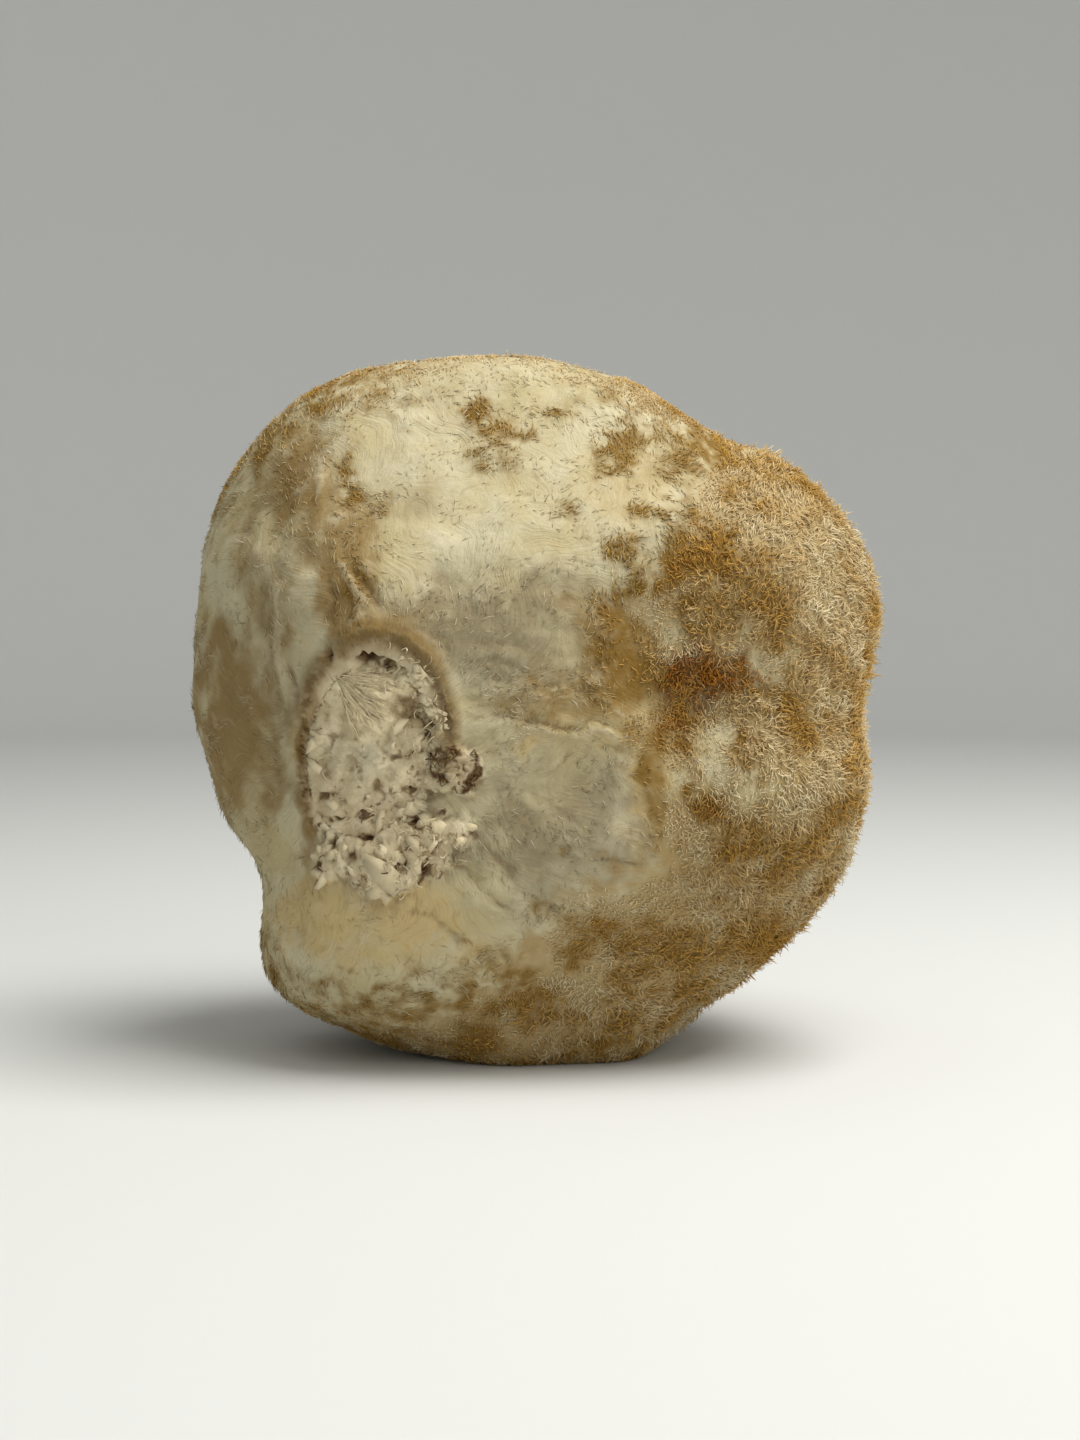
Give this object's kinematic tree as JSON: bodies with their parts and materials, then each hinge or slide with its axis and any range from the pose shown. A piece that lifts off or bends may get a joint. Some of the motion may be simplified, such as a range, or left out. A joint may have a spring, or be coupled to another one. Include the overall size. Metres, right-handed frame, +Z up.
{
  "type": "lions mane mushroom",
  "caption": "Whole dried lion's mane mushroom: cream flesh with a torn oval stem scar on one side, and short brown spines over the rim and the far side.",
  "frame": {"origin": "middle of the mushroom's box, on the surface that it stands on", "axes": "+Z up, -Y towards the side with the stem scar, +X to the right as that side is looked at"},
  "size_m": [0.0942, 0.0734, 0.0949],
  "materials": {
    "flesh": "matt, dry, felted cream to tan flesh, with golden-brown spines"
  },
  "bodies": {
    "root": {"mushroom": "flesh"}
  },
  "joints": []
}
